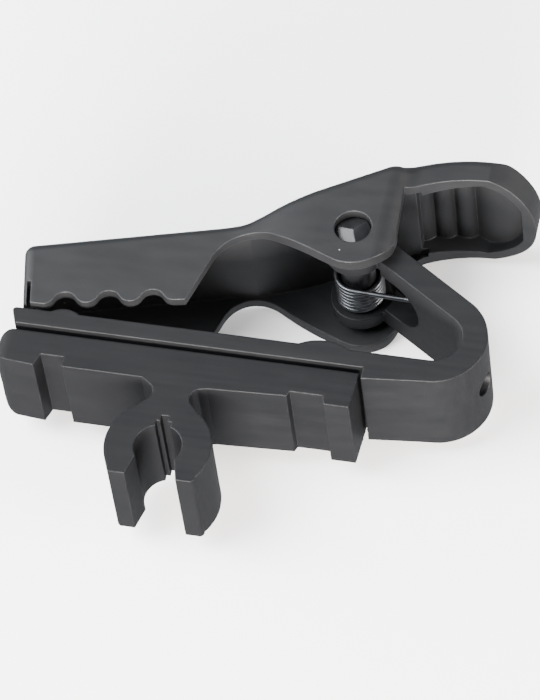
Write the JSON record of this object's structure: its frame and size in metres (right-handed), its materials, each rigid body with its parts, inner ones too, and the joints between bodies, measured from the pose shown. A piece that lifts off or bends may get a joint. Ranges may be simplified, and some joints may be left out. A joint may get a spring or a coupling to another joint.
{
  "type": "lavalier microphone tie clip",
  "caption": "Sprung crocodile tie clip with wavy teeth, a ribbed thumb paddle and an open ring under the lower jaw that holds a lavalier microphone capsule.",
  "frame": {"origin": "bottom centre of the bounding box, with the clip lying on the side of its ears", "axes": "+X from the biting tip to the thumb paddle, +Y from the microphone ring up to the thumb paddle, +Z along the hinge pin"},
  "size_m": [0.0416, 0.0344, 0.0136],
  "materials": {
    "moulding": "satin, fine moulded grain",
    "pin": "satin",
    "spring": "dark spring wire"
  },
  "bodies": {
    "arm": {"lower_arm": "moulding", "mic_holder": "moulding", "pivot_pin": "pin", "torsion_spring": "spring"},
    "jaw": {"upper_jaw": "moulding"}
  },
  "joints": [
    {"name": "jaw_hinge", "type": "hinge", "parent": "arm", "child": "jaw", "pos_m": [0.00677, 0.00785, 0.0068], "axis": [0, 0, -1], "range_deg": [0, 30], "stiffness_Nm_per_rad": 0.12, "springref_deg": -20.05, "deforming": ["torsion_spring"]}
  ]
}
